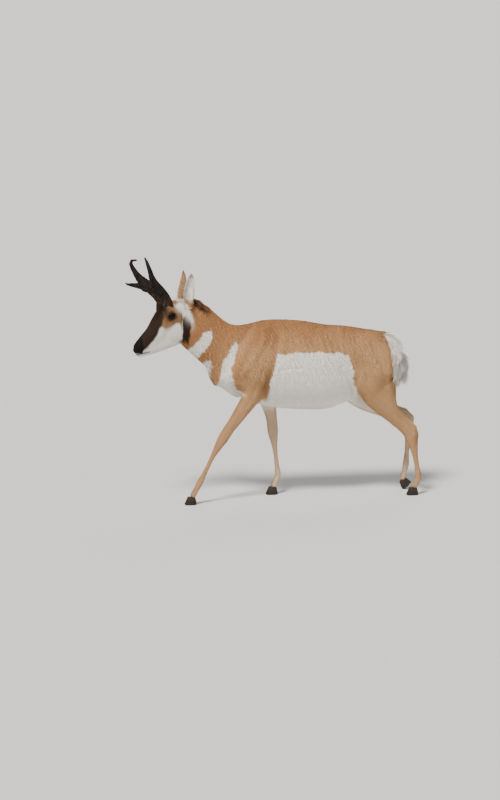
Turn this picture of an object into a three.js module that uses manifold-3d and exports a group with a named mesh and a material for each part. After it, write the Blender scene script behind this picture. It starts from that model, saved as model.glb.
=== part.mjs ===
// A pronghorn buck, life size, in a slow walk. It faces -X, the floor is z = 0, sizes are in millimetres.
import * as THREE from "three";
import { mergeVertices } from "three/addons/utils/BufferGeometryUtils.js";
import Module from "manifold-3d";

const wasm = await Module();
wasm.setup();

// Driving dimensions
const seamGap = 0.3; // left between neighbouring pieces
const trunkRays = 34; // points round each ring of the trunk and neck
const headRays = 28;
const legRays = 12;
const pollX = -560; // the head turns about the poll, towards the animal's left
const headTurn = THREE.MathUtils.degToRad(12);
const eyeRadius = 22;
const hornSpread = 38; // from the middle plane to the middle of a horn's base
const earLength = 150;
const clawLength = 58;

const left = -1;
const right = 1;

const headToWorld = new THREE.Matrix4().makeTranslation(pollX, 0, 0)
  .multiply(new THREE.Matrix4().makeRotationZ(headTurn));
const worldToHead = headToWorld.clone().invert();

// Stations are [x, y, z, half depth, half width]; the leg's y is how far out it stands.
const backLine = [
  [-400, 0, 742, 75, 44], [-318, 0, 758, 84, 50], [-245, 0, 765, 98, 56], [-172, 0, 768, 111, 62],
  [-98, 0, 764, 114, 70], [0, 0, 752, 115, 82], [98, 0, 738, 108, 88], [196, 0, 730, 106, 90],
  [294, 0, 718, 100, 88], [360, 0, 702, 92, 82], [420, 0, 682, 78, 66], [458, 0, 668, 52, 44],
];
const ribCage = [
  [-396, 0, 612, 66, 54], [-350, 0, 622, 128, 80], [-290, 0, 640, 156, 96], [-187, 0, 642, 184, 116],
  [-98, 0, 636, 197, 130], [0, 0, 630, 200, 138], [98, 0, 622, 198, 138], [150, 0, 626, 188, 130],
  [205, 0, 640, 176, 116], [270, 0, 668, 138, 98], [340, 0, 690, 96, 84],
];
const neckLine = [
  [-250, 0, 700, 130, 62], [-330, 0, 716, 128, 64], [-400, 0, 756, 120, 60], [-455, 0, 800, 116, 55],
  [-505, 0, 846, 114, 51], [-550, 0, 884, 104, 48],
];
const coreLine = [
  [455, 0, 668], [425, 0, 672], [350, 0, 682], [230, 0, 665], [80, 0, 640], [-80, 0, 645],
  [-200, 0, 665], [-290, 0, 700], [-370, 0, 745], [-450, 0, 805], [-540, 0, 880],
];

const shoulderBlades = {
  [left]: [
    [-170, 58, 800, 40, 26], [-235, 76, 730, 58, 34], [-300, 88, 650, 60, 36], [-335, 90, 610, 46, 30],
  ],
  [right]: [
    [-170, 58, 800, 40, 26], [-225, 76, 730, 58, 34], [-285, 88, 650, 60, 36], [-320, 90, 606, 46, 30],
  ],
};
const upperArms = {
  [left]: [[-200, 74, 700, 58, 34], [-232, 88, 620, 66, 38], [-250, 88, 555, 54, 36]],
  [right]: [[-205, 74, 700, 58, 34], [-205, 88, 620, 66, 38], [-180, 88, 555, 54, 36]],
};
const haunches = [[345, 56, 740, 72, 40], [350, 70, 680, 92, 46], [350, 76, 610, 98, 50]];

const foreLegs = {
  [left]: [
    [-225, 66, 640, 56, 30], [-243, 80, 560, 54, 36], [-264, 84, 508, 47, 34], [-300, 84, 456, 39, 29],
    [-330, 82, 410, 31.5, 25], [-364, 80, 365, 27, 22], [-391, 79, 322, 27.5, 23],
    [-417, 78, 280, 20.5, 18.5], [-436, 78, 248, 14.5, 14], [-453, 78, 216, 12, 12],
    [-477, 78, 166, 12, 12], [-500, 78, 121, 15.5, 15.5], [-510, 78, 101, 17, 17], [-520, 78, 84, 15, 16],
  ],
  [right]: [
    [-205, 66, 640, 56, 30], [-186, 80, 560, 55, 36], [-163, 84, 508, 48, 34], [-140, 84, 456, 40, 29],
    [-128, 83, 410, 33, 25], [-120, 82, 362, 27.5, 22], [-116, 81, 316, 27.5, 23],
    [-111, 80, 272, 20.5, 18.5], [-107, 80, 238, 14.5, 14], [-103, 79, 202, 12, 12],
    [-97, 79, 152, 12, 12], [-92, 79, 113, 15.5, 15.5], [-90, 79, 93, 17, 17], [-94, 79, 77, 15, 16],
  ],
};
const gaskins = {
  [left]: [
    [330, 66, 640, 92, 50], [328, 76, 570, 76, 54], [335, 78, 520, 64, 50], [386, 76, 456, 52, 41],
    [438, 75, 400, 40, 31], [482, 75, 352, 31, 24], [514, 75, 316, 27, 21], [533, 75, 290, 32, 23],
    [540, 75, 266, 29, 22], [546, 75, 242, 23.5, 18], [551, 75, 216, 18, 15], [557, 75, 180, 14, 13],
    [564, 75, 138, 13, 12.5], [570, 75, 102, 17, 16], [572, 75, 84, 18, 17], [567, 75, 69, 15, 16],
  ],
  [right]: [
    [325, 66, 640, 92, 50], [300, 78, 560, 76, 54], [283, 82, 496, 60, 50], [338, 80, 444, 49, 41],
    [398, 77, 412, 41, 31], [454, 75, 384, 32, 24], [504, 75, 362, 27, 21], [543, 75, 345, 31, 23],
    [554, 75, 316, 28, 22], [555, 75, 290, 23, 18], [554, 75, 260, 18, 15], [552, 75, 224, 14, 13],
    [549, 75, 177, 13, 12.5], [546, 75, 137, 17, 16], [544, 75, 117, 18, 17], [541, 75, 101, 15, 16],
  ],
};
const hamstrings = {
  [left]: [[420, 50, 705, 60, 44], [414, 62, 610, 54, 46], [412, 70, 510, 52, 40], [428, 72, 440, 36, 28]],
  [right]: [[420, 50, 705, 60, 44], [404, 62, 610, 58, 46], [378, 72, 520, 56, 40], [400, 75, 450, 40, 28]],
};
const heelTendons = {
  [left]: [
    [440, 73, 440, 18, 12], [496, 75, 388, 12, 9], [540, 75, 347, 12, 10], [557, 75, 326, 13, 12],
    [556, 75, 290, 13, 13],
  ],
  [right]: [
    [430, 75, 440, 18, 12], [500, 75, 406, 12, 9], [555, 75, 388, 12, 10], [572, 75, 374, 13, 12],
    [570, 75, 336, 13, 13],
  ],
};

// A mass of muscle or a limb: an oval section swept along a smooth line through the stations.
function sweptOval(stations, side = 1, fineness = 4) {
  const centreLine = smoothLine(stations, side);
  const sizeLine = new THREE.CatmullRomCurve3(stations.map((one) => new THREE.Vector3(one[3], one[4], 0)));
  const count = (stations.length - 1) * fineness;
  const segments = [];
  for (let i = 0; i < count; i += 1) {
    const start = centreLine.getPoint(i / count);
    const along = centreLine.getPoint((i + 1) / count).sub(start);
    const length = along.length();
    along.divideScalar(length);
    const across = new THREE.Vector3(0, 1, 0).addScaledVector(along, -along.y).normalize();
    const deep = new THREE.Vector3().crossVectors(along, across);
    const from = sizeLine.getPoint(i / count);
    const to = sizeLine.getPoint((i + 1) / count);
    segments.push({ start, along, across, deep, length, from, to });
  }
  return (p) => {
    let nearest = Infinity;
    let best = null;
    let bestT = 0;
    for (const segment of segments) {
      const wx = p.x - segment.start.x;
      const wy = p.y - segment.start.y;
      const wz = p.z - segment.start.z;
      const raw = wx * segment.along.x + wy * segment.along.y + wz * segment.along.z;
      const t = Math.min(Math.max(raw, 0), segment.length);
      const squared = wx * wx + wy * wy + wz * wz - 2 * t * raw + t * t;
      if (squared < nearest) {
        nearest = squared;
        best = segment;
        bestT = t;
      }
    }
    const share = bestT / best.length;
    const halfDeep = best.from.x + (best.to.x - best.from.x) * share;
    const halfWide = best.from.y + (best.to.y - best.from.y) * share;
    const wx = p.x - best.start.x - best.along.x * bestT;
    const wy = p.y - best.start.y - best.along.y * bestT;
    const wz = p.z - best.start.z - best.along.z * bestT;
    const u = wx * best.deep.x + wy * best.deep.y + wz * best.deep.z;
    const v = wx * best.across.x + wy * best.across.y + wz * best.across.z;
    const s = wx * best.along.x + wy * best.along.y + wz * best.along.z;
    return ovalDistance(u, v, s, halfDeep, halfWide, Math.min(halfDeep, halfWide));
  };
}

function ovalDistance(u, v, s, a, b, c) {
  const k0 = Math.hypot(u / a, v / b, s / c);
  const k1 = Math.hypot(u / (a * a), v / (b * b), s / (c * c));
  return k1 < 1e-9 ? -Math.min(a, b, c) : (k0 * (k0 - 1)) / k1;
}

function ball([x, y, z], [rx, ry, rz]) {
  return (p) => ovalDistance(p.x - x, p.y - y, p.z - z, rx, ry, rz);
}

function blend(softness, ...fields) {
  return (p) => {
    let sum = fields[0](p);
    for (let i = 1; i < fields.length; i += 1) {
      const next = fields[i](p);
      const overlap = Math.max(softness - Math.abs(sum - next), 0) / softness;
      sum = Math.min(sum, next) - (overlap * overlap * softness) / 4;
    }
    return sum;
  };
}

function shrunk(field, depth) {
  return (p) => field(p) + depth;
}

// Keeps a limb on its own side of the middle plane
function onSide(field, side, clearance) {
  return (p) => Math.max(field(p), clearance - side * p.y);
}

// How far a ray runs inside the field before it comes out
function surfaceDistance(field, start, direction, farthest) {
  const p = new THREE.Vector3();
  const valueAt = (r) => field(p.copy(start).addScaledVector(direction, r));
  let inside = 0;
  let value = valueAt(0);
  if (value > 0) return 0.5;
  let r = 0;
  while (r < farthest && value <= 0) {
    inside = r;
    r = Math.min(r + Math.max(2.5, -0.7 * value), farthest);
    value = valueAt(r);
  }
  if (value <= 0) return farthest;
  let outside = r;
  for (let i = 0; i < 12; i += 1) {
    const middle = (inside + outside) / 2;
    if (valueAt(middle) > 0) outside = middle;
    else inside = middle;
  }
  return inside;
}

function smoothLine(points, side = 1) {
  return new THREE.CatmullRomCurve3(points.map(([x, y, z]) => new THREE.Vector3(x, side * y, z)));
}

function evenShares(count, from = 0, to = 1) {
  return Array.from({ length: count }, (_, i) => from + ((to - from) * i) / (count - 1));
}

// Rings square to a centre line, at the given shares of its length
function ringsAlong(line, shares) {
  return shares.map((share) => {
    const centre = line.getPointAt(share);
    const along = line.getTangentAt(share);
    const side = new THREE.Vector3(0, 1, 0).addScaledVector(along, -along.y).normalize();
    const up = new THREE.Vector3().crossVectors(side, along);
    return { centre, along, side, up };
  });
}

// A closed skin over rings of points, with a point at each end
function skin(rings, startPoint, endPoint) {
  const rays = rings[0].length;
  const positions = rings.flat().concat(startPoint, endPoint).flatMap((point) => point.toArray());
  const indices = [];
  for (let i = 0; i + 1 < rings.length; i += 1) {
    for (let j = 0; j < rays; j += 1) {
      const k = (j + 1) % rays;
      const [a, b, c, d] = [i * rays + j, i * rays + k, (i + 1) * rays + j, (i + 1) * rays + k];
      indices.push(a, b, d, a, d, c);
    }
  }
  const start = rings.length * rays;
  for (let j = 0; j < rays; j += 1) {
    const k = (j + 1) % rays;
    indices.push(k, j, start, start - rays + j, start - rays + k, start + 1);
  }
  return solidFrom(positions, indices);
}

// A closed skin over the field, from rings of rays; a round end is closed at a point on the surface.
function loft(rings, field, rays, { farthest = () => 400, roundStart = false, roundEnd = false } = {}) {
  const reached = (ring, direction, most) => ring.centre.clone()
    .addScaledVector(direction, surfaceDistance(field, ring.centre, direction, most));
  const around = rings.map((ring, i) => Array.from({ length: rays }, (_, j) => {
    const angle = (j / rays) * 2 * Math.PI;
    const direction = ring.up.clone().multiplyScalar(Math.cos(angle));
    direction.addScaledVector(ring.side, Math.sin(angle));
    return reached(ring, direction, farthest(i));
  }));
  const first = rings[0];
  const last = rings[rings.length - 1];
  const startPoint = roundStart ? reached(first, first.along.clone().negate(), 200) : first.centre;
  const endPoint = roundEnd ? reached(last, last.along, 200) : last.centre;
  return skin(around, startPoint, endPoint);
}

// A closed triangle mesh as a solid, with its faces turned to point out
function solidFrom(positions, indices) {
  const corner = (i) => new THREE.Vector3().fromArray(positions, 3 * i);
  let volume = 0;
  for (let i = 0; i < indices.length; i += 3) {
    volume += corner(indices[i]).dot(corner(indices[i + 1]).cross(corner(indices[i + 2])));
  }
  const triangles = Uint32Array.from(indices);
  if (volume < 0) triangles.reverse();
  return new wasm.Manifold(
    new wasm.Mesh({ numProp: 3, vertProperties: Float32Array.from(positions), triVerts: triangles }),
  );
}

function solidOf(geometry) {
  const bare = geometry.clone();
  bare.deleteAttribute("normal");
  bare.deleteAttribute("uv");
  const merged = mergeVertices(bare, 1e-4);
  return solidFrom(Array.from(merged.getAttribute("position").array), Array.from(merged.index.array));
}

function joined(solids) {
  return solids.reduce((sum, next) => sum.add(next));
}

function largest(solid) {
  const parts = solid.decompose();
  return parts.reduce((best, next) => (next.volume() > best.volume() ? next : best));
}

// The share of a solid on the side of a plane that the normal points to
function beyond(solid, point, normal, gap = seamGap / 2) {
  const unit = new THREE.Vector3(...normal).normalize();
  return solid.trimByPlane(unit.toArray(), unit.dot(new THREE.Vector3(...point)) + gap);
}

// White hair of the rump, which stands out over the buttocks round the tail
const rumpHair = [
  [384, 0, 768, 26, 40], [430, 0, 744, 32, 58], [456, 0, 702, 32, 66], [461, 0, 656, 28, 64],
  [444, 0, 608, 26, 52],
];

const trunk = blend(
  42,
  sweptOval(rumpHair),
  sweptOval(backLine),
  sweptOval(ribCage),
  sweptOval(neckLine),
  ...[left, right].flatMap((side) => [
    sweptOval(shoulderBlades[side], side),
    sweptOval(upperArms[side], side),
    sweptOval(haunches, side),
    sweptOval(hamstrings[side].slice(0, 2), side),
  ]),
);

function trunkSolid() {
  const rings = ringsAlong(smoothLine(coreLine), [...evenShares(6, 0, 0.07), ...evenShares(31, 0.095, 1)]);
  return loft(rings, trunk, trunkRays, { roundStart: true });
}

function foreLegSolid(side) {
  const field = onSide(blend(24, sweptOval(foreLegs[side], side), shrunk(trunk, 5)), side, 14);
  const rings = ringsAlong(smoothLine(foreLegs[side], side), evenShares(20, 0.02, 1));
  return loft(rings, field, legRays, { farthest: (i) => 46 + 9 * i });
}

function hindLegField(side) {
  return onSide(
    blend(
      20,
      sweptOval(gaskins[side], side),
      sweptOval(hamstrings[side], side),
      sweptOval(heelTendons[side], side),
      shrunk(trunk, 5),
    ),
    side,
    8,
  );
}

// The shank and the hamstring behind it are lofted along their own lines and joined
function hindLegSolid(side) {
  const field = hindLegField(side);
  const shank = ringsAlong(smoothLine(gaskins[side], side), evenShares(27, 0.02, 1));
  const hamstring = ringsAlong(smoothLine(hamstrings[side], side), evenShares(9, 0.1, 0.97));
  return loft(shank, field, legRays + 4, { farthest: (i) => 90 + 6 * i })
    .add(loft(hamstring, field, legRays, { farthest: () => 66 }));
}

// Head: stations in the head's own frame, where it looks along -X from the poll
const skullLine = [
  [-262, 0, 765, 20, 17], [-250, 0, 765, 33, 25], [-225, 0, 778, 42, 28], [-195, 0, 799, 49, 31],
  [-160, 0, 826, 57, 37], [-125, 0, 858, 70, 46], [-90, 0, 890, 80, 52], [-50, 0, 908, 82, 52],
  [-10, 0, 912, 78, 49], [30, 0, 910, 76, 46],
];
const lowerJaw = [
  [-236, 0, 738, 13, 15], [-200, 0, 746, 17, 19], [-150, 0, 764, 24, 26], [-105, 0, 790, 38, 36],
  [-70, 0, 812, 50, 43], [-40, 0, 838, 52, 44],
];
const neckTop = [[-70, 0, 860, 74, 44], [-10, 0, 872, 92, 50], [60, 0, 860, 104, 54], [110, 0, 838, 108, 55]];
const headAxis = [
  [86, 0, 870], [0, 0, 876], [-60, 0, 862], [-110, 0, 838], [-160, 0, 805], [-210, 0, 776], [-240, 0, 763],
  [-258, 0, 760],
];
const eyePlace = { x: -98, y: 47, z: 924 };

function inHead(solid) {
  return solid.transform(headToWorld.elements.slice());
}

const head = blend(
  22,
  sweptOval(skullLine),
  sweptOval(lowerJaw),
  sweptOval(neckTop),
  ...[left, right].flatMap((side) => [
    ball([-96, side * 44, 926], [38, 24, 32]), // the orbit stands out from the cheek
    ball([-114, side * hornSpread, 968], [28, 20, 26]), // the knob under each horn
    ball([-60, side * 40, 838], [42, 16, 44]), // cheek
    ball([-248, side * 19, 772], [17, 12, 15]), // nostril wing
  ]),
);

function headSolid() {
  const rings = ringsAlong(smoothLine(headAxis), [
    ...evenShares(8, 0, 0.42), ...evenShares(21, 0.46, 1),
  ]);
  return loft(rings, head, headRays, { roundEnd: true });
}

// A closed tube of oval sections: stations are [x, y, z, half depth, half width], its end a point or flat
function ovalTube(stations, rays, { pointed = true } = {}) {
  const line = smoothLine(stations);
  const rings = stations.map(([x, y, z, deep, wide], i) => {
    const along = line.getTangent(i / (stations.length - 1));
    const side = new THREE.Vector3(0, 1, 0).addScaledVector(along, -along.y).normalize();
    const up = new THREE.Vector3().crossVectors(side, along);
    return Array.from({ length: rays }, (_, j) => {
      const angle = (j / rays) * 2 * Math.PI;
      return new THREE.Vector3(x, y, z)
        .addScaledVector(up, deep * Math.cos(angle)).addScaledVector(side, wide * Math.sin(angle));
    });
  });
  const first = new THREE.Vector3(...stations[0].slice(0, 3));
  const last = stations[stations.length - 1];
  const reach = pointed ? Math.min(last[3], last[4]) : 0;
  const tip = new THREE.Vector3(...last.slice(0, 3)).addScaledVector(line.getTangent(1), reach);
  return skin(rings, first, tip);
}

// Horns: the left one rises straighter, the right one hooks over more
const hornTips = { [left]: { rise: 24, hook: 0, out: 0 }, [right]: { rise: 0, hook: 1, out: 12 } };

function hornSolid(side, grow = 0) {
  const { rise, hook, out } = hornTips[side];
  const beam = [
    [-104, 37, 958, 24, 16], [-112, 38, 985, 27, 18], [-128, 43, 1012, 27, 17], [-150, 52, 1038, 27, 15.5],
    [-176, 64, 1066, 25, 14], [-198, 76, 1090 + rise * 0.2, 20, 12.5],
    [-214, 86, 1116 + rise * 0.4, 14.5, 11.5], [-226, 93, 1140 + rise * 0.7, 11.5, 10],
    [-235, 94, 1160 + rise * 0.9, 9.5, 8.5], [-240 + 8 * hook, 89, 1176 + rise, 7.5, 7],
    [-241 + 20 * hook, 77, 1187 + rise - 8 * hook, 5.5, 5],
    [-240 + 26 * hook, 64, 1193 + rise - 12 * hook, 3, 3],
  ];
  const prong = [
    [-160, 58, 1042, 17, 9], [-186, 68, 1050, 16, 8.5], [-212, 77, 1056, 13.5, 7.5], [-238, 83, 1060, 9.5, 6],
    [-258, 86, 1064, 5.5, 4.5], [-268, 86, 1070, 2.5, 2.5],
  ];
  const widen = ([x, y, z, deep, wide]) => {
    const spread = out * THREE.MathUtils.smoothstep(z, 990, 1090);
    return [x - spread * 0.4, side * (y + spread), z, deep + grow, wide + grow];
  };
  return inHead(ovalTube(beam.map(widen), 12).add(ovalTube(prong.map(widen), 8)));
}

// An ear is a cup that opens outwards: rolled into a tube at the root, open and leaf shaped above
function earSolid(side, grow = 0) {
  const rows = 11;
  const columns = 9;
  const shell = 2.4;
  const root = new THREE.Vector3(-12, side * 43, 955);
  const tip = new THREE.Vector3(4, side * 63, 955 + earLength + 12);
  const opening = new THREE.Vector3(-0.42, side * 0.9, 0).normalize();
  const rise = tip.clone().sub(root).normalize();
  opening.addScaledVector(rise, -opening.dot(rise)).normalize();
  const sideways = new THREE.Vector3().crossVectors(rise, opening);
  const positions = [];
  const layer = (offset) => {
    for (let i = 0; i < rows; i += 1) {
      const t = i / (rows - 1);
      const radius = 16.5 + 9 * Math.sin(Math.PI * t) ** 0.9 - 4 * t * t * t;
      const openAngle = THREE.MathUtils.degToRad(THREE.MathUtils.lerp(158, 62, Math.min(1, t * 1.25) ** 0.7));
      const taper = t > 0.66 ? Math.sqrt(Math.max(0.05, 1 - ((t - 0.66) / 0.35) ** 2)) : 1;
      const along = root.clone().lerp(tip, t).addScaledVector(opening, -7 * Math.sin(Math.PI * t));
      for (let j = 0; j < columns; j += 1) {
        const angle = THREE.MathUtils.lerp(-1, 1, j / (columns - 1)) * openAngle * taper;
        const out = opening.clone().multiplyScalar(-Math.cos(angle));
        out.addScaledVector(sideways, Math.sin(angle));
        positions.push(...along.clone().addScaledVector(out, radius + offset).toArray());
      }
    }
  };
  layer(shell / 2 + grow);
  layer(-shell / 2 - grow);
  const indices = [];
  const inner = rows * columns;
  const at = (i, j) => i * columns + j;
  for (let i = 0; i + 1 < rows; i += 1) {
    for (let j = 0; j + 1 < columns; j += 1) {
      const [a, b, c, d] = [at(i, j), at(i, j + 1), at(i + 1, j), at(i + 1, j + 1)];
      indices.push(a, b, d, a, d, c);
      indices.push(inner + a, inner + d, inner + b, inner + a, inner + c, inner + d);
    }
  }
  const edge = (a, b) => indices.push(a, b, inner + b, a, inner + b, inner + a);
  for (let i = 0; i + 1 < rows; i += 1) {
    edge(at(i, 0), at(i + 1, 0));
    edge(at(i + 1, columns - 1), at(i, columns - 1));
  }
  for (let j = 0; j + 1 < columns; j += 1) {
    edge(at(0, j + 1), at(0, j));
    edge(at(rows - 1, j), at(rows - 1, j + 1));
  }
  return inHead(solidFrom(positions, indices));
}

function eyeBall(side, grow = 0) {
  const ballShape = new THREE.SphereGeometry(eyeRadius + grow, 14, 10);
  ballShape.translate(eyePlace.x, side * eyePlace.y, eyePlace.z);
  return inHead(solidOf(ballShape));
}

// Lids: an almond ring round the eye, standing a little proud of the skin
function lidRing(side) {
  const rays = 20;
  const sections = 6;
  const positions = [];
  const indices = [];
  for (let i = 0; i < rays; i += 1) {
    const angle = (i / rays) * 2 * Math.PI;
    const x = eyePlace.x + 24 * Math.cos(angle);
    const z = eyePlace.z + 15.5 * Math.sin(angle) - 2 + 3 * Math.cos(angle);
    const bulge = eyePlace.y + Math.sqrt(Math.max(0, (eyeRadius + 1) ** 2 - (x - eyePlace.x) ** 2 * 0.62
      - (z - eyePlace.z) ** 2));
    for (let j = 0; j < sections; j += 1) {
      const turn = (j / sections) * 2 * Math.PI;
      const out = 3.4 * Math.cos(turn);
      const y = side * (bulge + 3.6 * Math.sin(turn) - 1);
      positions.push(x + out * Math.cos(angle), y, z + out * Math.sin(angle));
    }
  }
  for (let i = 0; i < rays; i += 1) {
    for (let j = 0; j < sections; j += 1) {
      const k = (j + 1) % sections;
      const n = (i + 1) % rays;
      const [a, b, c, d] = [i * sections + j, i * sections + k, n * sections + j, n * sections + k];
      indices.push(a, b, d, a, d, c);
    }
  }
  return inHead(solidFrom(positions, indices));
}

// The line of the mouth runs from under the nose pad back along the cheek
function mouthCut(side) {
  const cut = [
    [-275, 2, 741, 1.6, 6], [-262, 10, 744, 1.6, 9], [-245, 22, 748, 1.6, 6], [-222, 28, 755, 1.6, 5],
    [-198, 31, 765, 1.5, 4.5], [-180, 33, 774, 1.2, 4],
  ];
  return inHead(ovalTube(cut.map(([x, y, z, deep, wide]) => [x, side * y, z, deep, wide]), 6));
}

function nostrilCut(side) {
  const cut = [
    [-262, 20, 768, 3, 5], [-255, 27, 771, 4.5, 6], [-246, 30, 777, 4, 4.5], [-240, 31, 784, 2.5, 3],
  ];
  return inHead(ovalTube(cut.map(([x, y, z, deep, wide]) => [x, side * y, z, deep, wide]), 8));
}

// Feet: the fetlock and the coronet above the claws, as [x, z], and how far the foot stands on its toe
const feet = [
  { name: "fore_left", side: left, out: 78, fetlock: [-512, 98], coronet: [-546, 37], toeDown: 0 },
  { name: "fore_right", side: right, out: 79, fetlock: [-91, 90], coronet: [-114, 37], toeDown: 0 },
  { name: "hind_left", side: left, out: 75, fetlock: [571, 82], coronet: [549, 37], toeDown: 0 },
  { name: "hind_right", side: right, out: 75, fetlock: [543, 112], coronet: [529, 47], toeDown: 45 },
];
const clawHalfWidth = 10.6;
const clawHeight = 37;
const cleft = 0.8;

// The two toes run from the fetlock to the claws
function toes({ side, out, fetlock, coronet }) {
  return joined([-1, 1].map((toe) => {
    const outAtClaw = out + toe * (clawHalfWidth + cleft / 2);
    const along = (share) => [0, 1].map((i) => fetlock[i] + (coronet[i] - fetlock[i]) * share);
    const stations = [[-0.1, 5, 14, 10.5], [0.3, 8, 13, 10.4], [0.7, 10.5, 13.5, 10.4], [1, 11, 15.5, 10.4]]
      .map(([share, apart, deep, wide]) => {
        const [x, z] = along(share);
        return [x, side * (share < 1 ? out + toe * apart : outAtClaw), z, deep, wide];
      });
    return ovalTube(stations, 10, { pointed: false });
  }));
}

// One claw, its sole on z = 0 and its toe towards -X, with its top under the coronet
function claw({ side, out, coronet, toeDown }, toe) {
  const levels = [0, 0.3, 0.68, 1];
  const rim = 12;
  const rings = levels.map((level) => {
    const toeEnd = -clawLength * (0.58 - 0.3 * level);
    const heelEnd = clawLength * (0.42 - 0.12 * level ** 2);
    const width = clawHalfWidth * (1 - 0.1 * level ** 3);
    return Array.from({ length: rim }, (_, j) => {
      const angle = (j / rim) * 2 * Math.PI;
      const along = Math.cos(angle);
      const pinch = along < 0 ? Math.sqrt(1 + 0.55 * along) : 1;
      const x = (toeEnd + heelEnd) / 2 + ((heelEnd - toeEnd) / 2) * along;
      return new THREE.Vector3(x - 4, width * pinch * Math.sin(angle), clawHeight * level);
    });
  });
  const top = new THREE.Vector3(0, 0, clawHeight);
  const tilt = THREE.MathUtils.degToRad(-toeDown);
  const solid = skin(rings, new THREE.Vector3(-4, 0, 0), top);
  const away = side * out + toe * side * (clawHalfWidth + cleft / 2);
  const place = new THREE.Matrix4()
    .makeTranslation(coronet[0], away, coronet[1] - seamGap)
    .multiply(new THREE.Matrix4().makeRotationY(tilt))
    .multiply(new THREE.Matrix4().makeTranslation(-top.x, 0, -top.z));
  return solid.transform(place.elements.slice()).trimByPlane([0, 0, 1], 0);
}

// Where the legs part from the body: an outline [x, z] seen from the side, and a slanting inner face
const legCuts = {
  fore_left: {
    side: left, inner: 30, level: 470, slope: 0.45,
    outline: [[-335, 578], [-200, 578], [-180, 500], [-150, 380], [-300, -60], [-700, -60], [-700, 200],
      [-440, 400], [-352, 500]],
  },
  fore_right: {
    side: right, inner: 30, level: 470, slope: 0.45,
    outline: [[-265, 578], [-130, 578], [-108, 500], [-86, 430], [-50, 300], [-20, -60], [-250, -60],
      [-225, 380], [-245, 500]],
  },
  hind_left: {
    side: left, inner: 14, level: 500, slope: 0.42,
    outline: [[222, 600], [300, 628], [500, 628], [520, 500], [680, 420], [680, -60], [450, -60], [330, 330],
      [232, 520]],
  },
  hind_right: {
    side: right, inner: 40, level: 500, slope: 0.3,
    outline: [[205, 560], [250, 628], [500, 628], [520, 500], [680, 470], [680, -60], [450, -60], [440, 300],
      [300, 330], [205, 400]],
  },
};

function legCutter({ side, inner, level, slope, outline }, grow = 0) {
  const count = outline.length;
  const middle = outline.reduce((sum, [x, z]) => [sum[0] + x / count, sum[1] + z / count], [0, 0]);
  const shape = new THREE.Shape(outline.map(([x, z]) => {
    const away = new THREE.Vector2(x - middle[0], z - middle[1]).setLength(1.6 * grow);
    return new THREE.Vector2(x + away.x, z + away.y);
  }));
  const block = new THREE.ExtrudeGeometry(shape, { depth: 300, bevelEnabled: false });
  block.rotateX(Math.PI / 2);
  block.translate(0, side > 0 ? 300 : 0, 0);
  return beyond(solidOf(block), [0, side * inner, level], [0, side, -slope], -grow);
}

// Tail and its white hair, one form out to the tips of the hair
function tailSolid(grow = 0) {
  const stations = [
    [456, 0, 712, 19, 19], [484, 0, 694, 19, 19], [500, 0, 664, 17, 20], [506, 0, 630, 14, 18],
    [505, 0, 598, 9, 12], [503, 0, 578, 4, 5],
  ];
  return ovalTube(stations.map(([x, y, z, deep, wide]) => [x, y, z, deep + grow, wide + grow]), 14);
}

// Mane, one form out to the tips of the hair along the crest of the neck
function maneSolid() {
  const stations = [
    [-552, 0, 940, 10, 8], [-516, 0, 943, 27, 14], [-472, 0, 915, 24, 13], [-430, 0, 890, 17, 11],
    [-385, 0, 862, 9, 7],
  ];
  return ovalTube(stations, 12);
}

// The breast bulges out in front of and between the forelegs
function brisketSolid() {
  const line = smoothLine([[-400, 0, 672], [-368, 0, 622], [-330, 0, 585], [-275, 0, 552], [-205, 0, 540]]);
  return loft(ringsAlong(line, evenShares(8)), trunk, 16, { farthest: () => 70 });
}

const group = new THREE.Group();

function addPiece(name, solid, look) {
  const { numProp, vertProperties, triVerts } = solid.getMesh();
  const positions = new Float32Array((vertProperties.length / numProp) * 3);
  for (let i = 0; i < positions.length / 3; i += 1) {
    positions.set(vertProperties.subarray(i * numProp, i * numProp + 3), i * 3);
  }
  const geometry = new THREE.BufferGeometry();
  geometry.setAttribute("position", new THREE.BufferAttribute(positions, 3));
  geometry.setIndex(new THREE.BufferAttribute(new Uint32Array(triVerts), 1));
  const piece = new THREE.Mesh(geometry, look);
  piece.name = name;
  group.add(piece);
}

const coat = new THREE.MeshStandardMaterial({ color: 0xbd8a58, roughness: 0.9, metalness: 0 });
const paleHair = new THREE.MeshStandardMaterial({ color: 0xe9e2d6, roughness: 0.9, metalness: 0 });
const hornBlack = new THREE.MeshStandardMaterial({ color: 0x241f1c, roughness: 0.6, metalness: 0 });
const hoofBlack = new THREE.MeshStandardMaterial({ color: 0x1d1a18, roughness: 0.5, metalness: 0 });
const eyeDark = new THREE.MeshStandardMaterial({ color: 0x0c0908, roughness: 0.1, metalness: 0 });

const headPlane = { point: [pollX + 20, 0, 880], normal: [-0.975, 0, 0.22] };
const neckPlane = { point: [-355, 0, 720], normal: [-0.947, 0, 0.32] };
const rumpPlane = { point: [262, 0, 600], normal: [1, 0, 0] };
const kneeHeights = { fore_left: 321, fore_right: 315, hind_left: 290, hind_right: 343 };
const back = ([x, y, z]) => [-x, -y, -z];

const bothSides = [left, right];
const whole = joined([
  trunkSolid(),
  inHead(headSolid()),
  ...bothSides.flatMap((side) => [foreLegSolid(side), hindLegSolid(side)]),
  ...feet.map(toes),
  maneSolid(),
  brisketSolid(),
]);
const legs = {};
let rest = whole;
for (const [name, cut] of Object.entries(legCuts)) {
  legs[name] = whole.intersect(legCutter(cut));
  rest = rest.subtract(legCutter(cut, seamGap));
}

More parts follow.
